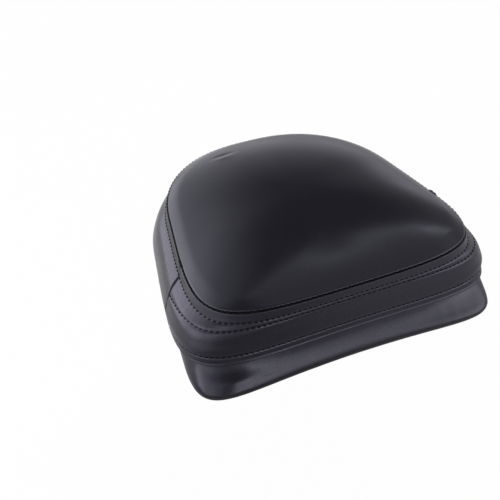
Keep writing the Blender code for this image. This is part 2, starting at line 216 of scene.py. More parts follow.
# %% [markdown]
# ## Black vinyl
# The cover is soft black vinyl with a satin gloss. Its colour is almost black, so what the eye reads
# is reflection: broad, slightly broken highlights on every roll and fold. The base colour moves only a
# little between a bluish and a warmer black. Smudges move the roughness, and the embossed grain goes
# through a Bump node. Each panel is cut from a different part of the roll, so each material gets its
# own roughness and grain.

# %% Vinyl finish
BLUISH_BLACK = (0.0080, 0.0080, 0.0112, 1.0)
WARM_BLACK = (0.0110, 0.0106, 0.0140, 1.0)
DUST = (0.030, 0.030, 0.031, 1.0)


def vinyl(name, roughness, pebbles, relief, tint):
    """One cut of the vinyl. Its roughness is a range, and the tint is that of its reflections."""
    made, tree, shader, place = new_finish(name)
    inputs = {"Vector": place, "Pebbles": pebbles, "Crease": 0.2}
    embossed = node(tree, "ShaderNodeGroup", inputs, node_tree=grain).outputs
    marks = handled(tree, place, 34.0, 560.0)
    colour = mixed(tree, marks["Drift"], BLUISH_BLACK, WARM_BLACK)
    dust = maths(tree, "MULTIPLY", marks["Specks"], 0.5)
    gloss = fit(tree, marks["Smudges"], new=roughness)
    pebble_gloss = maths(tree, "MULTIPLY", embossed["Pebble Tone"], 0.03)
    surface = {
        "Base Color": mixed(tree, dust, colour, DUST),
        "Roughness": maths(tree, "ADD", gloss, pebble_gloss),
        "Normal": bumps(tree, embossed["Height"], relief),
        "IOR": 1.55,
        "Specular Tint": (*tint, 1.0),
    }
    fill(tree, shader, surface)
    made.diffuse_color = (0.01, 0.01, 0.012, 1.0)
    return made


face_vinyl = vinyl("face vinyl", (0.17, 0.21), 1250.0, 0.005 * MM, (0.90, 0.91, 1.0))
front_vinyl = vinyl("front vinyl", (0.22, 0.28), 1150.0, 0.008 * MM, (0.88, 0.86, 1.0))
arch_vinyl = vinyl("arch vinyl", (0.22, 0.27), 1150.0, 0.006 * MM, (0.89, 0.88, 1.0))
skirt_vinyl = vinyl("skirt vinyl", (0.22, 0.28), 1150.0, 0.004 * MM, (0.90, 0.89, 1.0))

# %% [markdown]
# ## The wall that every layer follows
# A sewn cover is cut flat, but on the pad all its strips share one wall. That wall is a stack of
# D-shaped outlines, each a quarter superellipse for the straight side's corner and another for the
# arch. Between the measured heights the outlines change on smooth curves, so any sheet can ask for a
# point at its own height and stand out from the wall as far as it likes.

# %% Wall measurements
HALF_WIDTH = 113.0 * MM
DEPTH = 233.6 * MM
SHOULDER = 142.3 * MM
SIDE_TAPER = 1.92 / (1000 * MM)
ARCH_FULLNESS = 2.5
EDGE_HEIGHT = 8.0 * MM
HEM_HEIGHT = 28.5 * MM
HEM_STITCH = 35.6 * MM
TUCK_MIDDLE = 3.5 * MM
TUCK_SPREAD = 2.4
TUCK_END = 10.5 * MM
TUCK_TOP = 63.7 * MM
ARCH_STITCH = 63.7 * MM
FACE_SEAM = 72.0 * MM
CORNER_SEAM_TOP = 87.0 * MM
CORNER_SEAM_SLANT = 0.5
EDGE_RADIUS = 7.9 * MM
BACK_HEM = 22.0 * MM
VINYL = 0.9 * MM
STITCH_PITCH = 4.5 * MM

# In mm, apart from the power of the front corner: height, extra half width, setback of the front,
# setback of the arch, that power, and the hollow of the front
WALL = np.array([
    (8.0, 0.0, -11.2, 0.0, 7.5, 10.7),
    (28.5, 6.8, -2.3, 2.3, 5.0, 7.8),
    (35.6, 7.6, 1.3, 2.6, 5.0, 5.4),
    (57.7, 1.6, 3.0, 3.0, 4.6, 4.4),
    (63.7, -4.2, 6.1, 4.8, 4.7, 0.9),
    (72.0, -6.4, 10.4, 7.0, 4.87, -3.1),
]) * (MM, MM, MM, MM, 1.0, MM)


# %% Curves and lengths
def ease(share):
    share = np.clip(share, 0, 1)
    return share * share * (3 - 2 * share)


def unit(vectors):
    return vectors / np.linalg.norm(vectors, axis=1)[:, None]


def run_of(steps):
    """The length up to each point, from the steps between the points."""
    return np.concatenate(([0.0], np.cumsum(steps)))


def through(known_at, known, at):
    """Values at places on a smooth curve through known ones, whose first axis runs along it."""
    slopes = np.gradient(known, known_at, axis=0)
    low = np.clip(np.searchsorted(known_at, at, side="right") - 1, 0, len(known_at) - 2)
    span = known_at[low + 1] - known_at[low]
    share = np.clip((at - known_at[low]) / span, 0, 1)
    shape = (-1,) + (1,) * (known.ndim - 1)
    share, span = share.reshape(shape), span.reshape(shape)
    rise = share * share * (3 - 2 * share)
    leave = share * (1 - share) ** 2 * span
    arrive = share * share * (share - 1) * span
    return known[low] * (1 - rise) + known[low + 1] * rise + slopes[low] * leave + slopes[low + 1] * arrive


# %% One outline of the wall
CURVE_STEPS = 420


def quarter(across, along, power):
    turn = 0.5 ** (1 / power)
    near = np.linspace(0, turn, CURVE_STEPS)
    far = np.linspace(turn, 0, CURVE_STEPS)[1:]
    x = np.concatenate((near, (1 - far ** power) ** (1 / power)))
    y = np.concatenate(((1 - near ** power) ** (1 / power), far))
    return x * across, y * along


def outline(height, shrink=0.0):
    """The right half of the wall at a height, from mid-front to the apex: x, y and the way out."""
    _, widen, front, short, corner, hollow = through(WALL[:, 0], WALL, np.array([height]))[0]
    half = HALF_WIDTH + widen - shrink
    front_reach = SHOULDER - front - shrink
    x, y = quarter(half, front_reach, corner)
    y = -y + hollow * (1 - (x / half) ** 2) * y / front_reach
    arch_x, arch_y = quarter(half, DEPTH - short - SHOULDER - shrink, ARCH_FULLNESS)
    x = np.concatenate((x, arch_x[::-1][1:]))
    y = np.concatenate((y, arch_y[::-1][1:]))
    x = x * (1 - SIDE_TAPER * y)
    run_x, run_y = np.gradient(x), np.gradient(y)
    run_y[[0, -1]] = 0.0
    length = np.hypot(run_x, run_y)
    return np.stack((x, y + SHOULDER, run_y / length, -run_x / length), axis=1)


def corner_seam(height):
    """Where the slanted seam between the front and arch bands crosses the side."""
    return CORNER_SEAM_TOP - CORNER_SEAM_SLANT * (FACE_SEAM - height)


foot_line = outline(EDGE_HEIGHT)
MIDDLE = (foot_line[:, 1].min() + foot_line[:, 1].max()) / 2
print("the middle of the foot lies", round(MIDDLE / MM, 2), "mm behind the plain front line")

# %% [markdown]
# ## Strips of the wall
# The face panel and the skirt go all the way round, the front band runs from one slanted corner seam
# to the other, and the arch band covers the rest. A strip is a table of wall points: one line for each
# height, one column for each place along the strip. Columns are spread evenly by length, which keeps
# stitches and puckers even.

# %% Strip tables
TABLE_HEIGHTS = np.linspace(EDGE_HEIGHT, FACE_SEAM, 129)
OUTLINES = [outline(height) for height in TABLE_HEIGHTS]
SEAM_GAP = 0.9 * MM


def read_at(places, run, line):
    """Every column of a line, read at places along its run."""
    return np.stack([np.interp(places, run, column) for column in line.T], axis=1)


def sample(line, start, stop, shares, sides):
    """Columns at shares of the stretch between two lengths of an outline, on the right or left side."""
    run = run_of(np.hypot(np.diff(line[:, 0]), np.diff(line[:, 1])))
    begin = 0.0 if start is None else np.interp(start, line[:, 1], run)
    end = run[-1] if stop is None else np.interp(stop, line[:, 1], run)
    values = read_at(begin + shares * (end - begin), run, line)
    values[:, 1] -= MIDDLE
    values[:, 0] *= sides
    values[:, 2] *= sides
    return values


def halves(turn):
    """Shares and sides of places round the whole wall, whose turn goes from 0 at mid-front to 2."""
    right = turn <= 1
    return np.where(right, turn, 2 - turn), np.where(right, 1.0, -1.0)


# %% Strip class
class Strip:
    """One strip of the cover, with the wall's points for each of its columns."""

    def __init__(self, kind, columns):
        self.closed = kind == "whole"
        if self.closed:
            self.shares, self.sides = halves(np.linspace(0, 2, columns, endpoint=False))
        else:
            turn = np.linspace(-1, 1, columns)
            self.shares = np.abs(turn)
            self.sides = np.where(turn >= 0, 1.0, -1.0)
        if kind == "arch":
            self.shares = 1 - self.shares
            self.sides = -self.sides
        lines = [self.line(kind, height, full) for height, full in zip(TABLE_HEIGHTS, OUTLINES)]
        self.table = np.array(lines)

    def line(self, kind, height, full):
        start = corner_seam(height) + SEAM_GAP / 2 if kind == "arch" else None
        stop = corner_seam(height) - SEAM_GAP / 2 if kind == "front" else None
        return sample(full, start, stop, self.shares, self.sides)

    def at(self, heights, out):
        """Points of rows by columns, at heights and out from the wall."""
        count = self.table.shape[1]
        shape = np.broadcast_shapes(np.shape(heights), (1, count))
        heights = np.broadcast_to(np.asarray(heights, float), shape)
        out = np.broadcast_to(out, heights.shape)
        place = (heights - TABLE_HEIGHTS[0]) / (TABLE_HEIGHTS[1] - TABLE_HEIGHTS[0])
        low = np.clip(place.astype(int), 0, len(TABLE_HEIGHTS) - 2)
        share = np.clip(place - low, 0, 1)[..., None]
        column = np.broadcast_to(np.arange(count), heights.shape)
        found = self.table[low, column] * (1 - share) + self.table[low + 1, column] * share
        x = found[..., 0] + found[..., 2] * out
        y = found[..., 1] + found[..., 3] * out
        return np.stack((x, y, heights), axis=-1)

    def runs(self, height):
        """Length along the strip at a height: up to each column, and in all."""
        points = self.at(height, 0.0)[0]
        if self.closed:
            points = np.vstack((points, points[:1]))
        run = run_of(np.linalg.norm(np.diff(points, axis=0), axis=1))
        return (run[:-1] if self.closed else run), run[-1]

    def stitch_wave(self, height):
        """1 under the middle of each stitch of a row, and -1 at its needle holes."""
        run, total = self.runs(height)
        return -np.cos(2 * pi * run / total * int(total / STITCH_PITCH))


print("wall table:", len(TABLE_HEIGHTS), "heights, each a line of", len(foot_line), "points")

# %% [markdown]
# ## Turning points into sheets
# Rows of points become a grid of quads. The Solidify modifier then gives the sheet the thickness of
# real vinyl, which keeps it a closed form with clean edges wherever a cut edge shows.

# %% Sheet helpers
WELD = 0.002 * MM


def add_piece(name, points, faces, finish, smooth=True):
    """A new object in the scene, made of lists of points and faces."""
    mesh = bpy.data.meshes.new(name)
    mesh.from_pydata(points, [], faces)
    if smooth:
        mesh.shade_smooth()
    mesh.materials.append(finish)
    piece = bpy.data.objects.new(name, mesh)
    bpy.context.scene.collection.objects.link(piece)
    print(name, len(faces), "faces")
    return piece


def grid_faces(rows, columns, closed):
    """Quads between rows of points. A closed grid joins its last column to its first."""
    index = np.arange(rows * columns).reshape(rows, columns)
    right = np.roll(index, -1, axis=1) if closed else index[:, 1:]
    left = index if closed else index[:, :-1]
    return np.stack((left[:-1], left[1:], right[1:], right[:-1]), axis=-1).reshape(-1, 4).tolist()


def sheet(name, points, finish, closed):
    """A sheet of vinyl whose outer side runs through rows of points."""
    faces = grid_faces(*points.shape[:2], closed)
    piece = add_piece(name, points.reshape(-1, 3).tolist(), faces, finish, smooth=False)
    work = bmesh.new()
    work.from_mesh(piece.data)
    bmesh.ops.remove_doubles(work, verts=work.verts, dist=WELD)
    work.to_mesh(piece.data)
    work.free()
    piece.data.shade_smooth()
    shell = piece.modifiers.new("vinyl thickness", "SOLIDIFY")
    shell.thickness = VINYL
    shell.offset = -1.0
    return piece


# %% Lofts
FINE_STEP = 0.45 * MM
COARSE_STEP = 1.6 * MM
LEAST_STEP = 0.2 * MM


def fine_rows(knots, fine):
    """Places from the first knot to the last, closely spaced around each knot and wider elsewhere."""
    places = [knots[0]]
    while places[-1] < knots[-1]:
        away = np.abs(places[-1] - knots).min()
        places.append(places[-1] + fine + (COARSE_STEP - fine) * ease((away - 1.5 * MM) / (5 * MM)))
    places[-1] = knots[-1]
    return np.array(places)


def loft(strip, controls, fine=FINE_STEP):
    """Heights and outs, rows by columns, on smooth curves through control rows of (height, out)."""
    count = strip.table.shape[1]
    heights = np.array([np.broadcast_to(height, count) for height, _ in controls])
    outs = np.array([np.broadcast_to(out, count) for _, out in controls])
    steps = np.hypot(np.diff(heights, axis=0), np.diff(outs, axis=0)).max(axis=1)
    knots = run_of(np.maximum(steps, LEAST_STEP))
    places = fine_rows(knots, fine)
    return through(knots, heights, places), through(knots, outs, places)


# %% [markdown]
# ## Puckers and stitch pulls
# Thread is pulled tight through thick cloth, so every stitch row lies in a small valley that is
# deepest under each stitch, and the cloth puckers a little on both sides. The puckers aren't regular:
# a sum of a few sine waves with unrelated lengths gives a natural unevenness that is the same at
# every run.

# %% Relief helpers
WAVE_RATIOS = (1.0, 1.618, 2.414, 0.577)
VALLEY_REACH = 0.95 * MM
PUCKER_LENGTH = 2.3 * STITCH_PITCH


def uneven(run, wavelength, start):
    """A wandering value from -1 to 1 along a length."""
    waves = [np.sin(2 * pi * run / (wavelength * ratio) + start * (3 + ratio)) for ratio in WAVE_RATIOS]
    return sum(waves) / len(WAVE_RATIOS)


def stitch_valley(heights, row_height, wave, depth, pull):
    """Depth of the valley that a row of stitches draws into the cover."""
    away = (heights - row_height) / VALLEY_REACH
    return -(depth + pull * wave) * np.exp(-away * away)


def puckers(heights, row_height, run, depth, start, reach):
    """Small folds that run away from a row of stitches on both sides."""
    away = np.abs(heights - row_height) / reach
    gather = uneven(run, PUCKER_LENGTH, start) * (0.6 + 0.4 * uneven(run, 60 * MM, start + 1))
    return depth * gather * np.exp(-away) * (1 - np.exp(-3 * away))


def soft_spot(points, centre, reach):
    """1 at a centre, fading to 0 over a reach in x, y and z."""
    away = (points - np.array(centre) * MM) / (np.array(reach) * MM)
    return np.exp(-np.sum(away * away, axis=-1))


# %% [markdown]
# ## Face panel
# The face panel is one piece of vinyl over crowned foam. Its edge rolls over a seam allowance and
# dives into the seam. It starts as the crown's measured curve, a little low. A short cloth simulation
# then presses it outwards from inside, as the foam does, while the seam holds its edge. Where the taut
# cloth would sink inwards, the foam holds it. The fine relief at the seam is added afterwards, since
# the simulation is too coarse to show it.

# %% Crown of the face panel
CROWN_HEIGHT = 25.4 * MM
CROWN_SPREAD = 2.05
CROWN_SHOULDER = 0.88
CROWN_OVERHANG = 0.1 * MM
CROWN_FOOT = 2.3 * MM
CROWN_PINCH = 1.0 * MM


def crown_point(edge, share, sink=0.0):
    """Points of one ring of the crown: share 0 is its top and 1 its seam."""
    centre = (edge[:, 1].min() + edge[:, 1].max()) / 2
    foot = CROWN_FOOT - CROWN_PINCH * ease((share - 0.9) / 0.1)
    lift = foot + (CROWN_HEIGHT - foot) * (1 - share ** CROWN_SPREAD) ** CROWN_SHOULDER
    x = edge[:, 0] * share
    y = centre + (edge[:, 1] - centre) * share
    z = np.full(len(edge), FACE_SEAM + lift - sink * (1 - share ** 2))
    return np.stack((x, y, z), axis=1)


# %% Cloth simulation of the crown
SIM_COLUMNS = 120
SIM_SHARES = np.concatenate((np.linspace(0.04, 0.9, 20), np.linspace(0.925, 1.0, 4)))
SIM_SINK = 0.6 * MM
SWELL_LIMIT = 1.0 * MM
FOAM_HOLD = 0.5 * MM
PRESSURE = 1.2
SIM_FRAMES = 20
SMOOTHING_PASSES = 6


def swell():
    """How far the held cloth rises above its start, at crown shares by columns."""
    ring = Strip("whole", SIM_COLUMNS)
    edge = ring.at(FACE_SEAM, CROWN_OVERHANG)[0]
    rest = np.array([crown_point(edge, share, SIM_SINK) for share in SIM_SHARES])
    points = rest.reshape(-1, 3).tolist()
    top = len(points)
    fan = [(top, k, (k + 1) % SIM_COLUMNS) for k in range(SIM_COLUMNS)]
    points.append(rest[0].mean(axis=0).tolist())
    cloth = add_piece("cloth", points, grid_faces(*rest.shape[:2], closed=True) + fan, face_vinyl)
    held = cloth.vertex_groups.new(name="seam")
    held.add(list(range(top - SIM_COLUMNS, top)), 1.0, "REPLACE")
    modifier = cloth.modifiers.new("cloth", "CLOTH")
    settings = modifier.settings
    settings.vertex_group_mass = "seam"
    settings.use_pressure = True
    settings.uniform_pressure_force = PRESSURE
    settings.effector_weights.gravity = 0.0
    settings.tension_stiffness = 40.0
    settings.compression_stiffness = 40.0
    settings.bending_stiffness = 2.0
    settings.shrink_min = -0.004
    scene = bpy.context.scene
    for number in range(1, SIM_FRAMES + 1):
        scene.frame_set(number)
    shape = cloth.evaluated_get(bpy.context.evaluated_depsgraph_get()).to_mesh()
    moved = np.empty(len(shape.vertices) * 3)
    shape.vertices.foreach_get("co", moved)
    moved = moved.reshape(-1, 3)[:-1].reshape(rest.shape)
    rise = SWELL_LIMIT * np.tanh((moved[..., 2] - rest[..., 2]) / SWELL_LIMIT)
    rise = (rise + np.hypot(rise, FOAM_HOLD)) / 2
    for _ in range(SMOOTHING_PASSES):
        rise = (np.roll(rise, 1, axis=1) + 2 * rise + np.roll(rise, -1, axis=1)) / 4
        rise[1:-1] = (rise[:-2] + 2 * rise[1:-1] + rise[2:]) / 4
    scene.frame_set(1)
    mesh = cloth.data
    bpy.data.objects.remove(cloth)
    bpy.data.meshes.remove(mesh)
    print("cloth rose", round(rise.min() / MM, 2), "to", round(rise.max() / MM, 2), "mm")
    return rise


def spread_to(rise, shares, columns):
    """A coarse field of crown shares by columns, read at finer shares and columns."""
    by_share = through(SIM_SHARES, rise, np.clip(shares, SIM_SHARES[0], 1.0))
    turn = np.arange(SIM_COLUMNS + 1) / SIM_COLUMNS
    fine = np.arange(columns) / columns
    return np.array([np.interp(fine, turn, np.append(row, row[0])) for row in by_share])


# %% Face panel sheet
PANEL_COLUMNS = 720
SHARE_RANGES = ((0.0, 0.7, 20), (0.714, 0.9, 14), (0.909, 0.9895, 10))
PANEL_SHARES = np.concatenate([np.linspace(*shares) for shares in SHARE_RANGES])
CAP_SHARE = 0.15
CREASE_DEPTH = 0.55 * MM

panel_strip = Strip("whole", PANEL_COLUMNS)
panel_run = panel_strip.runs(FACE_SEAM)[0]
panel_wave = panel_strip.stitch_wave(FACE_SEAM)
panel_edge = panel_strip.at(FACE_SEAM, CROWN_OVERHANG)[0]
crown = np.array([crown_point(panel_edge, share) for share in PANEL_SHARES])
rise = swell()
field = spread_to(rise, PANEL_SHARES, PANEL_COLUMNS)
level = field.mean(axis=1, keepdims=True)
field = level + (field - level) * np.minimum(PANEL_SHARES[:, None] / CAP_SHARE, 1.0)
crown[..., 2] += field - SIM_SINK * (1 - PANEL_SHARES[:, None] ** 2)

# A short crease from packing lies on the far left shoulder of the crown
crease = soft_spot(crown, (-34.5, 83.0, 84.6), (8.5, 2.4, 9.0))
crease -= 0.5 * soft_spot(crown, (-35.0, 77.0, 86.5), (7.0, 3.5, 9.0))
crown[..., 2] -= CREASE_DEPTH * crease

# %% Roll of the panel into its seam
# Height above the seam and distance out from the wall in mm
PANEL_ROLL = (
    (1.66, -0.9),
    (1.54, -0.94),
    (1.4, -1.06),
    (1.15, -1.28),
    (0.75, -1.45),
    (0.1, -1.7),
    (-1.0, -1.77),
    (-5.8, -1.78),
)
ROLL_INNER = -1.75 * MM
ROLL_TOP = 1.6 * MM
ROLL_TIGHT = 0.4 * MM
SEAM_DROP = 0.16 * MM
SEAM_PULL = 0.14 * MM
SEAM_WANDER = 0.10 * MM
SLACK = 0.45 * MM
SLACK_START = -75 * MM
SLACK_LENGTH = 20 * MM

# Behind the front corners the seam is sewn less tightly, and the roll leans further in
slack = SLACK * ease((panel_edge[:, 1] - SLACK_START) / SLACK_LENGTH)
roll_rows = []
for lift, out in PANEL_ROLL:
    lift, out = lift * MM, out * MM
    tight = np.exp(-((lift - ROLL_TOP) / ROLL_TIGHT) ** 2)
    loose = SEAM_WANDER * uneven(panel_run, 3.1 * STITCH_PITCH, 0.4)
    drop = (SEAM_DROP * panel_wave - SEAM_DROP + loose) * tight
    leaned = np.maximum(out - slack, min(out, ROLL_INNER))
    roll_rows.append(panel_strip.at(FACE_SEAM + lift + drop, leaned - SEAM_PULL * panel_wave * tight)[0])
panel_points = np.concatenate((crown, np.array(roll_rows)))
face_panel = sheet("cover_face_panel", panel_points, face_vinyl, closed=True)

# %% [markdown]
# ## Front band
# The front band wraps the straight edge and both lower corners. A tapered tuck is folded under its
# upper seam and sewn down with two rows of stitches, narrow in mid-front and wide at the corners.
# Below it the vinyl hangs over the foam in a soft roll, is caught by a third row, and ends in a
# folded, lapped hem. Each band is lofted through a few control rows, and the stitch valleys and
# puckers are laid on top.

# %% Band helpers
FOLD_RADIUS = 1.3 * MM
HEM_KICK = 0.5 * MM
ROLL = 0.9 * MM
ROLL_RISE = 3.2 * MM
BELLY = 0.4 * MM
END_REACH = 1.3 * MM
END_DEPTH = 1.5 * MM

# Distance out from the wall in mm of the rows of a band's upper edge
LIP_OUTS = (-1.0, -0.85, -0.55, -0.22, 0.0, 0.08, 0.06)


def lip(drops):
    """The rolled upper edge of a band, given as drops below the face seam in mm."""
    return [(FACE_SEAM - drop * MM, out * MM) for drop, out in zip(drops, LIP_OUTS)]


def hem_controls():
    """The lower edge of a band: soft roll, stitch row, fold and the layer turned up inside."""
    rows = [
        (HEM_STITCH + ROLL_RISE, ROLL),
        (HEM_STITCH + 1.6 * MM, 0.6 * ROLL),
        (HEM_STITCH + 0.5 * MM, 0.0),
        (HEM_STITCH, -0.15 * MM),
        (HEM_STITCH - 0.6 * MM, 0.0),
        (HEM_STITCH - 2.0 * MM, 0.05 * MM),
        (HEM_HEIGHT + 2.9 * MM, 0.03 * MM),
        (HEM_HEIGHT + 2.2 * MM, 0.08 * MM),
    ]
    for step in range(5):
        angle = pi * step / 4
        kick = HEM_KICK * cos(angle / 2)
        rows.append((HEM_HEIGHT + FOLD_RADIUS * (1 - sin(angle)), kick - FOLD_RADIUS * (1 - cos(angle))))
    rows.append((HEM_STITCH - 1.3 * MM, -2 * FOLD_RADIUS))
    rows.append((HEM_STITCH + 3.0 * MM, -2 * FOLD_RADIUS - 0.4 * MM))
    return rows


def end_roll(run):
    """How far the ends of a band roll in towards the slanted seam."""
    near = np.clip(1 - np.minimum(run - run[0], run[-1] - run) / END_REACH, 0, 1)
    return -END_DEPTH * (1 - np.sqrt(np.clip(1 - near ** 2, 0, 1)))


def sewn_band(name, strip, controls, rows, finish):
    """A band with a valley and puckers along each of its rows of stitches."""
    heights, outs = loft(strip, controls)
    relief = 0.0
    for height, ruler, valley, pull, gather, start, reach in rows:
        relief += stitch_valley(heights, height, strip.stitch_wave(height), valley * MM, pull * MM)
        relief += puckers(heights, height, strip.runs(ruler)[0], gather * MM, start, reach * MM)
    outer = (outs > -0.9 * FOLD_RADIUS) & (np.arange(len(outs))[:, None] > 2)
    outs = outs + np.where(outer, relief, 0.0) + end_roll(strip.runs(HEM_STITCH)[0])
    return sheet(name, strip.at(heights, outs), finish, closed=False)


# %% Front band sheet
FRONT_COLUMNS = 370


def tuck_low(shares, sides):
    """Height of the lower row of the tuck, which wanders a little along the front."""
    wander = 0.3 * MM * uneven(shares * sides, 0.23, 2.0)
    return TUCK_TOP - TUCK_MIDDLE - (TUCK_END - TUCK_MIDDLE) * shares ** TUCK_SPREAD + wander


front_strip = Strip("front", FRONT_COLUMNS)
front_low = tuck_low(front_strip.shares, front_strip.sides)
tuck_third = (TUCK_TOP - front_low) / 3
front_controls = lip((1.2, 0.4, 0.05, 0.02, 0.4, 1.4, 2.6)) + [
    (TUCK_TOP + 1.6 * MM, 0.0),
    (TUCK_TOP, 0.0),
    (TUCK_TOP - tuck_third, 0.08 * MM),
    (front_low + tuck_third, 0.08 * MM),
    (front_low, 0.0),
    (front_low - 1.6 * MM, 0.4 * BELLY),
    ((front_low + HEM_STITCH + ROLL_RISE) / 2, BELLY),
] + hem_controls()

# Height, height of its ruler, valley, stitch pull, puckers, where they start to wander, their reach
front_rows = (
    (TUCK_TOP, TUCK_TOP, 0.45, 0.14, 0.16, 0.3, 4.0),
    (front_low, TUCK_TOP, 0.45, 0.14, 0.2, 1.7, 3.0),
    (HEM_STITCH, HEM_STITCH, 0.3, 0.2, 0.2, 2.9, 3.0),
)
front_band = sewn_band("cover_front_band", front_strip, front_controls, front_rows, front_vinyl)

# %% [markdown]
# ## Arch band
# The arch band is the plain side strip that runs round the top of the pad. It has one row of stitches
# under its upper seam and shares the hem of the front band.

# %% Arch band sheet
ARCH_COLUMNS = 400
arch_strip = Strip("arch", ARCH_COLUMNS)
arch_controls = lip((1.6, 0.9, 0.5, 0.5, 0.8, 1.6, 2.6)) + [
    (ARCH_STITCH + 1.6 * MM, 0.0),
    (ARCH_STITCH, 0.0),
    (ARCH_STITCH - 1.6 * MM, 0.4 * BELLY),
    ((ARCH_STITCH + HEM_STITCH) / 2, BELLY),
] + hem_controls()
arch_rows = (
    (ARCH_STITCH, ARCH_STITCH, 0.55, 0.25, 0.35, 5.1, 5.0),
    (HEM_STITCH, HEM_STITCH, 0.3, 0.2, 0.35, 4.2, 4.0),
)
arch_band = sewn_band("cover_arch_band", arch_strip, arch_controls, arch_rows, arch_vinyl)

# %% [markdown]
# ## Skirt
# The skirt is the plain strip that comes out from under the hem. It flares to the board's rounded
# edge, turns round it and is folded onto the back, where staples hold it. Pulled cloth shows long
# shallow drag lines from the hem to the edge, and at the tight corners of the back it must be
# pleated. At the left front corner it was caught short, which leaves a hollow under the hem and a
# raised lip below the hollow.

# %% Skirt outside
SKIRT_COLUMNS = 600
GROOVE = 0.8 * MM
FOOT_TURN = 6.8 * MM
DRAG_DEPTH = 0.12 * MM
DRAG_LENGTH = 21 * MM
PINCH_HOLLOW = 0.5 * MM
PINCH_LIP = 0.9 * MM

# Share of the way down from the hem to the edge, and distance out from the wall in mm
SKIRT_FLARE = ((0.0, -2.95), (0.35, -2.3), (0.65, -1.3), (0.86, -0.3), (1.0, 0.0))

skirt_strip = Strip("whole", SKIRT_COLUMNS)
behind_hem = -(2 * FOLD_RADIUS + 0.35 * MM) - GROOVE
skirt_controls = [(HEM_STITCH + 6.0 * MM, behind_hem), (HEM_STITCH - 1.3 * MM, behind_hem)]
for share, out in SKIRT_FLARE:
    skirt_controls.append((HEM_HEIGHT - share * (HEM_HEIGHT - EDGE_HEIGHT), out * MM))
for step in range(5):
    angle = pi / 2 * step / 4
    skirt_controls.append((FOOT_TURN * (1 - sin(angle)), -FOOT_TURN * (1 - cos(angle))))
skirt_heights, skirt_outs = loft(skirt_strip, skirt_controls, fine=0.8 * MM)
skirt_heights = np.maximum(skirt_heights, 0.0)
skirt_run = skirt_strip.runs(EDGE_HEIGHT)[0]
below_hem = ease((HEM_HEIGHT - skirt_heights) / (8 * MM))
above_floor = ease(skirt_heights / (6 * MM))
drag = DRAG_DEPTH * uneven(skirt_run, DRAG_LENGTH, 0.9) * below_hem * above_floor
skirt_wall = skirt_strip.at(skirt_heights, 0.0)
hollow = PINCH_HOLLOW * soft_spot(skirt_wall, (-110.0, -110.0, 24.0), (14.0, 16.0, 4.0))
raised = PINCH_LIP * soft_spot(skirt_wall, (-106.0, -114.0, 16.0), (16.0, 16.0, 3.2))
skirt_points = skirt_strip.at(skirt_heights, skirt_outs + drag + raised - hollow)
print("skirt:", len(skirt_points), "rows above the floor")

# %% Back hem with pleats and staples
STAPLES = 38
STAPLE_INSET = 11.0 * MM
STAPLE_WIDTH = 10.0 * MM
STAPLE_DENT = 0.35 * MM
DENT_REACH = 1.5 * MM
PLEAT_PITCH = 7.5 * MM
PLEAT_PLACE = 0.305
PLEAT_SPREAD = 0.045
HEM_SHARES = np.linspace(0.07, 1.0, 22)


def hem_line(shrink, shares, sides):
    """Points of the flat hem on the back, drawn in from the turned edge."""
    line = sample(outline(EDGE_HEIGHT, shrink), None, None, shares, sides)
    x = line[:, 0] - line[:, 2] * EDGE_RADIUS
    y = line[:, 1] - line[:, 3] * EDGE_RADIUS
    return np.stack((x, y, np.zeros(len(shares))), axis=1)


staple_shares, staple_sides = halves((np.arange(STAPLES) + 0.5) / STAPLES * 2)
staple_places = hem_line(STAPLE_INSET, staple_shares, staple_sides)
staple_ahead = hem_line(STAPLE_INSET, np.clip(staple_shares + 0.002 * staple_sides, 0, 1), staple_sides)
staple_along = unit(staple_ahead - staple_places)

cut_edge = BACK_HEM + 0.7 * MM * uneven(skirt_run, 43 * MM, 2.2)
turned_edge = hem_line(0.0, skirt_strip.shares, skirt_strip.sides)
inwards = hem_line(BACK_HEM, skirt_strip.shares, skirt_strip.sides) - turned_edge
corner = np.exp(-((skirt_strip.shares - PLEAT_PLACE) / PLEAT_SPREAD) ** 2)
pleats = np.maximum(0.0, np.sin(2 * pi * skirt_run / PLEAT_PITCH)) ** 2 * corner
hem_rows = []
for share in HEM_SHARES:
    row = turned_edge + inwards * share * (cut_edge / BACK_HEM)[:, None]
    row[:, 2] = STAPLE_DENT * pleats * ease(share * 1.4)
    for middle, along in zip(staple_places, staple_along):
        offset = row[:, :2] - middle[:2]
        lengthwise = np.abs(offset @ along[:2])
        across = offset @ np.array((-along[1], along[0]))
        under_crown = ease((STAPLE_WIDTH / 2 + DENT_REACH - lengthwise) / DENT_REACH)
        pressed = np.exp(-(across / DENT_REACH) ** 2) * under_crown
        row[:, 2] = np.maximum(row[:, 2], STAPLE_DENT * pressed)
    hem_rows.append(row)
skirt = sheet("cover_skirt", np.concatenate((skirt_points, np.array(hem_rows))), skirt_vinyl, closed=True)

# %% [markdown]
# ## Staples
# An upholsterer's stapler drives flat wire through the hem into the board. Each staple is one bent
# wire: a crown that presses into the vinyl and two legs that go straight up into the wood. A staple
# is never quite in line with its neighbour, so each is turned by a few degrees.

# %% Staple wire
WIRE_THICKNESS = 0.45 * MM
WIRE_WIDTH = 0.8 * MM
LEG_LENGTH = 5.0 * MM
STAPLE_TURN = radians(5.0)

steel_wire, tree, shader, place = new_finish("staple wire")
marks = handled(tree, place, 240.0, 1800.0)
surface = {
    "Metallic": 1.0,
    "Base Color": mixed(tree, marks["Smudges"], (0.62, 0.62, 0.63, 1.0), (0.42, 0.40, 0.38, 1.0)),
    "Roughness": fit(tree, marks["Drift"], new=(0.25, 0.45)),
}
fill(tree, shader, surface)


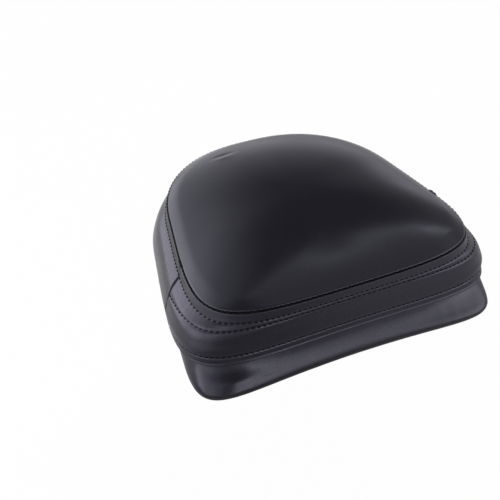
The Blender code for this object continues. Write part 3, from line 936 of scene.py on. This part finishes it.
# %% Staples
def staple(centre, along, turned):
    """Points and faces of one staple, lying with its crown along a direction."""
    x = along[0] * cos(turned) - along[1] * sin(turned)
    y = along[0] * sin(turned) + along[1] * cos(turned)
    along = np.array((x, y, 0.0))
    across = np.array((-y, x, 0.0))
    up = np.array((0.0, 0.0, 1.0))
    half = STAPLE_WIDTH / 2
    low = 0.04 * MM + WIRE_THICKNESS / 2
    path = [(-half, LEG_LENGTH), (-half, 1.2 * MM), (-half * 0.97, low + 0.25 * MM), (-half * 0.88, low)]
    path += [(-x, z) for x, z in reversed(path)]
    path = np.array([centre + along * x + up * z for x, z in path])
    forward = unit(np.gradient(path, axis=0))
    points = []
    for place, normal in zip(path, np.cross(forward, across)):
        for a, b in ((1, 1), (1, -1), (-1, -1), (-1, 1)):
            points.append(place + across * a * WIRE_WIDTH / 2 + normal * b * WIRE_THICKNESS / 2)
    faces = []
    for ring in range(0, 4 * len(path) - 4, 4):
        for k in range(4):
            after = (k + 1) % 4
            faces.append((ring + k, ring + after, ring + 4 + after, ring + 4 + k))
    last = 4 * (len(path) - 1)
    return points, faces + [(3, 2, 1, 0), (last, last + 1, last + 2, last + 3)]


staple_points, staple_faces = [], []
staple_turns = STAPLE_TURN * uneven(np.arange(STAPLES), 3.3, 1.0)
for middle, along, turned in zip(staple_places, staple_along, staple_turns):
    points, faces = staple(middle, along, turned)
    staple_faces += [tuple(corner + len(staple_points) for corner in face) for face in faces]
    staple_points += [point.tolist() for point in points]
hem_staples = add_piece("hem_staples", staple_points, staple_faces, steel_wire, smooth=False)

# %% [markdown]
# ## Sewing thread
# Each stitch is a short run of thick bonded thread that bends down into its two needle holes. One
# small bent capsule is swept along a curve for each stitch, and all stitches of a row are joined
# into one mesh, as the row is one thread. The stitches sit in the valleys that were drawn for them.

# %% Thread finish
thread_black, tree, shader, place = new_finish("bonded thread")
marks = handled(tree, place, 300.0, 900.0)
plies = node(tree, "ShaderNodeTexWave", {"Vector": place, "Scale": 900.0, "Distortion": 1.5, "Detail": 1.0})
surface = {
    "Specular IOR Level": 0.12,
    "Base Color": mixed(tree, marks["Smudges"], (0.003, 0.003, 0.004, 1.0), (0.010, 0.010, 0.012, 1.0)),
    "Roughness": fit(tree, marks["Drift"], new=(0.42, 0.58)),
    "Normal": bumps(tree, plies.outputs["Fac"], 0.05 * MM, 0.8),
}
fill(tree, shader, surface)


# %% Tube helper
def tube(points, path, radii, flat=1.0, sides=12, up=(0.0, 0.0, 1.0)):
    """Adds a closed tube along a path to a list of points, and returns its faces."""
    first = len(points)
    forward = unit(np.gradient(path, axis=0))
    side = unit(np.cross(forward, up))
    rise = np.cross(side, forward) * flat
    for j, centre in enumerate(path):
        for turn in range(sides):
            angle = 2 * pi * turn / sides
            points.append((centre + (side[j] * cos(angle) + rise[j] * sin(angle)) * radii[j]).tolist())
    last = first + (len(path) - 1) * sides
    faces = []
    for ring in range(first, last, sides):
        for turn in range(sides):
            after = (turn + 1) % sides
            faces.append((ring + turn, ring + sides + turn, ring + sides + after, ring + after))
    return faces + [tuple(range(first, first + sides)), tuple(range(last + sides - 1, last - 1, -1))]


# %% Stitches
THREAD_RADIUS = 0.34 * MM
STITCH_LENGTH = 3.9 * MM
STITCH_ARC = np.array([-0.75, -0.1, 0.22, 0.3, 0.22, -0.1, -0.75]) * MM
STITCH_TAPER = np.array([0.75, 1.0, 1.0, 1.0, 1.0, 1.0, 0.75])


def stitches(name, strip, height, out, radius=THREAD_RADIUS):
    """One row of stitches along a strip, out from the wall."""
    base = strip.at(height, out)[0]
    high = strip.at(height, out + 1 * MM)[0]
    run = run_of(np.linalg.norm(np.diff(base, axis=0, append=base[:1]), axis=1))
    if strip.closed:
        base, high = np.vstack((base, base[:1])), np.vstack((high, high[:1]))
    else:
        run = run[:-1]
    radii = np.resize(radius, len(run))
    number = int(strip.runs(height)[1] / STITCH_PITCH)
    points, faces = [], []
    for k in range(number):
        centre = (k + 0.5) * run[-1] / number
        along = centre + np.linspace(-0.5, 0.5, len(STITCH_ARC)) * STITCH_LENGTH
        path = read_at(along, run, base)
        lift = unit(read_at(along, run, high) - path)
        thick = np.interp(centre, run, radii) * STITCH_TAPER
        faces += tube(points, path + lift * STITCH_ARC[:, None], thick, sides=8, up=lift)
    print(name, number, "stitches")
    return add_piece(name, points, faces, thread_black)


# Where the face seam is slack, its thread shows thicker and higher
seam_height = FACE_SEAM + 0.5 * MM + 1.6 * slack
seam_out = 0.4 * slack - 0.78 * MM
seam_radius = 0.44 * MM + 0.55 * slack
threads = [
    stitches("face_seam_thread", panel_strip, seam_height, seam_out, seam_radius),
    stitches("tuck_upper_thread", front_strip, TUCK_TOP, -0.45 * MM),
    stitches("tuck_lower_thread", front_strip, front_low, -0.4 * MM),
    stitches("front_hem_thread", front_strip, HEM_STITCH, -0.5 * MM),
    stitches("arch_upper_thread", arch_strip, ARCH_STITCH, -0.45 * MM),
    stitches("arch_hem_thread", arch_strip, HEM_STITCH, -0.5 * MM),
]

# %% [markdown]
# ## Seam allowance lumps and backing fringe
# Where the corner seam runs into the face seam, six layers of vinyl meet. The spare cloth can't lie
# flat and stands out as a small dark lump. At the other end of the corner seam the cut edge of the
# hem shows a little of the woven backing, as short tan fibres.

# %% Lumps at the seam crossings
LUMP_REACH = 5.5 * MM

# Each strand of a lump: its start and end as shares of the lump, its radius and its lift in mm
LUMP_STRANDS = ((0.0, 0.62, 1.2, 0.4), (0.3, 1.0, 1.05, 0.7), (0.4, 0.62, 0.95, 1.6))

seam_line = panel_strip.at(FACE_SEAM + 1.0 * MM, 0.1 * MM)[0]
from_crossing = np.abs(seam_line[:, 1] - (CORNER_SEAM_TOP - MIDDLE))
lump_points, lump_faces = [], []
for side in (1, -1):
    path = seam_line[(seam_line[:, 0] * side > 0) & (from_crossing < LUMP_REACH)]
    share = np.linspace(0, 1, len(path))
    for number, (start, stop, thick, lift) in enumerate(LUMP_STRANDS):
        part = path[(share >= start) & (share <= stop)]
        along = np.linspace(0, 1, len(part))
        swell_out = np.sin(pi * np.clip(along, 0.04, 0.96)) ** 0.6
        wobble = 1 + 0.25 * uneven(along, 0.5, 1.3 * number + side)
        raised_path = part + np.array((0.25 * side, 0.0, lift)) * MM * swell_out[:, None]
        lump_faces += tube(lump_points, raised_path, thick * MM * swell_out * wobble, flat=0.7)
seam_lumps = add_piece("seam_allowance_lumps", lump_points, lump_faces, front_vinyl)

# %% Corner seam thread
CORD_RADIUS = 0.55 * MM
CORD_BEADS = 1.7 * MM

cord_heights = np.linspace(HEM_HEIGHT + 1.5 * MM, FACE_SEAM + 0.3 * MM, 60)
cord_lines = np.array([front_strip.at(height, -0.95 * MM)[0] for height in cord_heights])
cord_radii = CORD_RADIUS * (1 + 0.18 * np.sin(2 * pi * cord_heights / CORD_BEADS))
cord_points, cord_faces = [], []
for column in (0, -1):
    cord_faces += tube(cord_points, cord_lines[:, column], cord_radii, sides=10)
corner_cord = add_piece("corner_seam_thread", cord_points, cord_faces, thread_black)

# %% Backing fringe
FIBRES = 9
FIBRE_RADII = np.linspace(0.16, 0.07, 6) * MM

backing, tree, shader, place = new_finish("woven backing")
fibre = noise(tree, place, 1800.0, 2.0)
tan = mixed(tree, fibre, (0.16, 0.10, 0.07, 1.0), (0.42, 0.31, 0.22, 1.0))
fill(tree, shader, {"Roughness": 0.9, "Base Color": tan})

fringe_points, fringe_faces = [], []
hem_inside = front_strip.at(HEM_HEIGHT + 0.9 * MM, -0.6 * MM)[0]
bends = np.linspace(0, 1, len(FIBRE_RADII))[:, None]
droop = bends ** 2 * np.array((0, 0, 0.7 * MM))
for column, side in ((0, -1), (-1, 1)):
    for number, spread in enumerate(uneven(np.arange(FIBRES), 2.7, 0.6 * side)):
        start = hem_inside[column] + np.array((-0.3 * side, 0.45 * (number - 4), 0.25 * spread)) * MM
        reach = (1.6 + 0.9 * spread) * MM
        path = start + bends * reach * np.array((0.75 * side, 0.5 * spread, -0.55)) - droop
        fringe_faces += tube(fringe_points, path, FIBRE_RADII, sides=6)
hem_fringe = add_piece("hem_backing_fringe", fringe_points, fringe_faces, backing)

# %% [markdown]
# ## The foam, the board and the tee nuts
# These parts keep their measured shapes. The foam is open-cell polyurethane, the board is plywood
# with long grain, and the tee nuts are zinc plated, which is a soft grey with a slightly warm bloom.

# %% Foam finish
foam_finish, tree, shader, place = new_finish("open-cell foam")
foam_cells = node(tree, "ShaderNodeTexVoronoi", {"Vector": place, "Scale": 1100.0}).outputs["Distance"]
surface = {
    "Roughness": 0.95,
    "Base Color": mixed(tree, foam_cells, (0.34, 0.28, 0.16, 1.0), (0.66, 0.58, 0.38, 1.0)),
    "Normal": bumps(tree, foam_cells, 0.3 * MM),
}
fill(tree, shader, surface)

# %% Plywood finish
plywood, tree, shader, place = new_finish("plywood")
stretched = node(tree, "ShaderNodeMapping", {"Vector": place, "Scale": (1.0, 9.0, 9.0)}).outputs["Vector"]
fibres = noise(tree, stretched, 42.0, 8.0, Roughness=0.65, Distortion=0.6)
marks = handled(tree, place, 22.0, 400.0)
fibre_range = fit(tree, fibres, (0.3, 0.7))
wood = mixed(tree, fibre_range, (0.46, 0.31, 0.17, 1.0), (0.66, 0.51, 0.32, 1.0))
smudge_share = maths(tree, "MULTIPLY", marks["Smudges"], 0.5)
surface = {
    "Base Color": mixed(tree, smudge_share, wood, (0.72, 0.66, 0.6, 1.0), blend_type="MULTIPLY"),
    "Roughness": fit(tree, fibres, new=(0.62, 0.85)),
    "Normal": bumps(tree, fibres, 0.12 * MM, 0.6),
}
fill(tree, shader, surface)

# %% Zinc finish
zinc, tree, shader, place = new_finish("zinc plate")
marks = handled(tree, place, 160.0, 1500.0)
crystals = noise(tree, place, 2600.0, 2.0)
surface = {
    "Metallic": 1.0,
    "Base Color": mixed(tree, marks["Drift"], (0.66, 0.66, 0.63, 1.0), (0.74, 0.71, 0.60, 1.0)),
    "Roughness": fit(tree, marks["Smudges"], new=(0.28, 0.46)),
    "Normal": bumps(tree, crystals, 0.02 * MM, 0.4),
}
fill(tree, shader, surface)

# %% Finishes of the hidden parts
named_finishes = {"foam_core": foam_finish, "back_board": plywood}
for name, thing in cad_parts.items():
    finish = zinc if name.startswith("tee_nut") else named_finishes.get(name)
    if finish:
        for slot in thing.material_slots:
            slot.material = finish
print("dressed the foam, the board and the tee nuts")

# %% [markdown]
# ## Floor and light
# The pad lies on a pale seamless sweep. Black vinyl is shown by what it mirrors, so the room is made
# of reflections. Low glows round the horizon light the bands, the ceiling is dark, and a level panel
# hangs on a slant over the camera side. Three brighter strips at its far edge draw the crest of the
# crown. A small panel low in front catches the lip of the front band, and a little light is washed
# over the floor at the left. The floor is shaded in front of the left corner, and mirrors show it
# brighter towards the left. For the camera alone, floor and surroundings are white.

# %% Floor
FLOOR_REACH = 6.0
FLOOR_OPENING = 0.10
FLOOR_SIDES = 64
CAMERA_LIFT = 0.985
MIRROR_LIFT = 0.75
# Painted shade: the floor's own colour is made darker in a soft spot in front of the left corner, where the
# vinyl mirrors it
SHADE_CENTRE = (-0.12, -0.23, 0.0)
SHADE_REACH = (0.05, 0.22)
SHADE_GREYS = (0.16, 0.66)
# Painted glow: mirrors alone see the floor lifted towards white, more strongly towards the left
LOW_LIFT = 0.12
LIFT_ALONG = (1.0, -0.5, 0.0)
LIFT_START = -0.10
LIFT_FULL = -0.20

paper = bpy.data.materials.new("pale floor")
paper.use_nodes = True
tree = paper.node_tree
tree.nodes.clear()
place = node(tree, "ShaderNodeTexCoord").outputs["Object"]
from_shade = node(tree, "ShaderNodeVectorMath", {0: place, 1: SHADE_CENTRE}, operation="DISTANCE")
shade = fade(tree, from_shade.outputs["Value"], SHADE_REACH, SHADE_GREYS)
across = node(tree, "ShaderNodeVectorMath", {0: place, 1: LIFT_ALONG}, operation="DOT_PRODUCT")
lit_left = fade(tree, across.outputs["Value"], (LIFT_FULL, LIFT_START), (MIRROR_LIFT, LOW_LIFT))
rays = node(tree, "ShaderNodeLightPath").outputs
seen_lift = maths(tree, "MULTIPLY", rays["Is Camera Ray"], CAMERA_LIFT)
mirror_lift = maths(tree, "MULTIPLY", rays["Is Glossy Ray"], lit_left)
diffuse = node(tree, "ShaderNodeBsdfDiffuse", {"Color": shade})
white = node(tree, "ShaderNodeEmission", {"Color": WHITE, "Strength": 1.0})
lifted = mixed_shader(tree, maths(tree, "ADD", seen_lift, mirror_lift), diffuse, white)
clear = node(tree, "ShaderNodeBsdfTransparent")
side = node(tree, "ShaderNodeNewGeometry")
from_above = mixed_shader(tree, side.outputs["Backfacing"], lifted, clear)
node(tree, "ShaderNodeOutputMaterial", {"Surface": from_above.outputs["Shader"]})

around = np.linspace(0, 2 * pi, FLOOR_SIDES, endpoint=False)
rims = []
for reach in (FLOOR_OPENING, FLOOR_REACH):
    rims += [(reach * cos(angle), reach * sin(angle), 0.0) for angle in around]
ring_faces = []
for k in range(FLOOR_SIDES):
    after = (k + 1) % FLOOR_SIDES
    ring_faces.append((k, FLOOR_SIDES + k, FLOOR_SIDES + after, after))
floor = add_piece("floor", rims, ring_faces, paper, smooth=False)

# %% World
COOL = (0.97, 0.965, 1.06)
SKY = 0.10
HORIZON = 0.5
HAZE_TOP = 0.3

# Soft glows: turn from straight behind to the right, height, lowest cosine, brightness
GLOWS = (
    (-110, 8, 0.75, 0.5),
    (-155, 25, 0.92, 0.75),
    (-128, 22, 0.92, 1.0),
    (-95, 10, 0.90, 1.5),
    (-55, 12, 0.90, 1.0),
    (-28, 8, 0.88, 1.1),
    (-60, 25, 0.35, 0.3),
    (-60, 25, 0.70, 1.1),
    (-25, 15, 0.70, 0.7),
    (-40, 60, 0.85, 0.4),
    (22, 0, 0.80, 0.35),
    (88, 10, 0.65, 0.35),
    (125, 3, 0.82, 1.5),
    (150, 4, 0.85, 1.05),
)

world = bpy.data.worlds.new("studio")
bpy.context.scene.world = world
world.use_nodes = True
tree = world.node_tree
tree.nodes.clear()
direction = node(tree, "ShaderNodeTexCoord").outputs["Generated"]
upward = node(tree, "ShaderNodeSeparateXYZ", {"Vector": direction}).outputs["Z"]
brightness = fade(tree, upward, (0.0, HAZE_TOP), (SKY + HORIZON, SKY))
for turn, height, start, strength in GLOWS:
    turn, height = radians(turn), radians(height)
    aim = (sin(turn) * cos(height), cos(turn) * cos(height), sin(height))
    nearness = node(tree, "ShaderNodeVectorMath", {0: direction, 1: aim}, operation="DOT_PRODUCT")
    glow = fade(tree, nearness.outputs["Value"], (start, 1.0), (0.0, strength))
    brightness = maths(tree, "ADD", brightness, glow)
surround = node(tree, "ShaderNodeBackground", {"Color": (*COOL, 1.0), "Strength": brightness})
seen = node(tree, "ShaderNodeBackground", {"Color": WHITE, "Strength": 1.0})
rays = node(tree, "ShaderNodeLightPath").outputs
both = mixed_shader(tree, rays["Is Camera Ray"], surround, seen)
node(tree, "ShaderNodeOutputWorld", {"Surface": both.outputs["Shader"]})
print("world:", len(GLOWS), "soft glows")


# %% Lamps
def soft_panel(name, centre, aim, width, height, brightness, turn=0.0):
    """A rectangular lamp whose brightness is what a mirror would show of it."""
    data = bpy.data.lights.new(name, "AREA")
    data.shape = "RECTANGLE"
    data.size = width
    data.size_y = height
    data.energy = brightness * pi * width * height
    data.color = COOL
    lamp = bpy.data.objects.new(name, data)
    lamp.location = centre
    lamp.rotation_mode = "QUATERNION"
    facing = (Vector(centre) - Vector(aim)).to_track_quat("Z", "Y")
    lamp.rotation_quaternion = facing @ Quaternion((0.0, 0.0, 1.0), turn)
    lamp.visible_camera = False
    bpy.context.scene.collection.objects.link(lamp)
    return lamp


# Panels over the camera side: start and stop along the slanted far edge, near and far in front of it,
# and brightness
PANEL_HEIGHT = 1.5
PANEL_TURN = radians(18.3)
FAR_EDGE = 0.06
OVERHEAD = {
    "overhead front": (-0.1, 1.9, 0.12, 1.5, 0.31),
    "overhead strip left": (-0.05, 0.5, 0.0, 0.12, 0.6),
    "overhead strip middle": (0.5, 1.15, 0.0, 0.12, 1.3),
    "overhead strip right": (1.15, 2.0, 0.0, 0.18, 2.4),
}

for name, (start, stop, near, far, brightness) in OVERHEAD.items():
    along = (start + stop) / 2
    away = (near + far) / 2
    x = along * cos(PANEL_TURN) + away * sin(PANEL_TURN)
    y = FAR_EDGE + along * sin(PANEL_TURN) - away * cos(PANEL_TURN)
    size = (stop - start, far - near)
    soft_panel(name, (x, y, PANEL_HEIGHT), (x, y, 0.0), *size, brightness, PANEL_TURN)
soft_panel("front kicker", (0.26, -1.48, 0.30), (0.0, 0.0, 0.05), 0.4, 0.25, 2.4)
floor_wash = soft_panel("floor wash", (-0.5, 0.12, 0.3), (-0.24, -0.03, 0.0), 0.3, 0.2, 4.0)
floor_wash.visible_glossy = False

bpy.context.scene.view_settings.view_transform = "Standard"

# %% [markdown]
# ## What rides where
# The pad has no moving part, so every piece rides on its one body. The four layers of the cover stand
# for their plain solids, which stay in the physics model.

# %% Bind and finish
covers = {"face_panel": face_panel, "front_band": front_band, "arch_band": arch_band, "skirt": skirt}
for solid, piece in covers.items():
    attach(piece, "root")
    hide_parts(solid)
for piece in (*threads, corner_cord, hem_staples, seam_lumps, hem_fringe):
    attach(piece, "root")
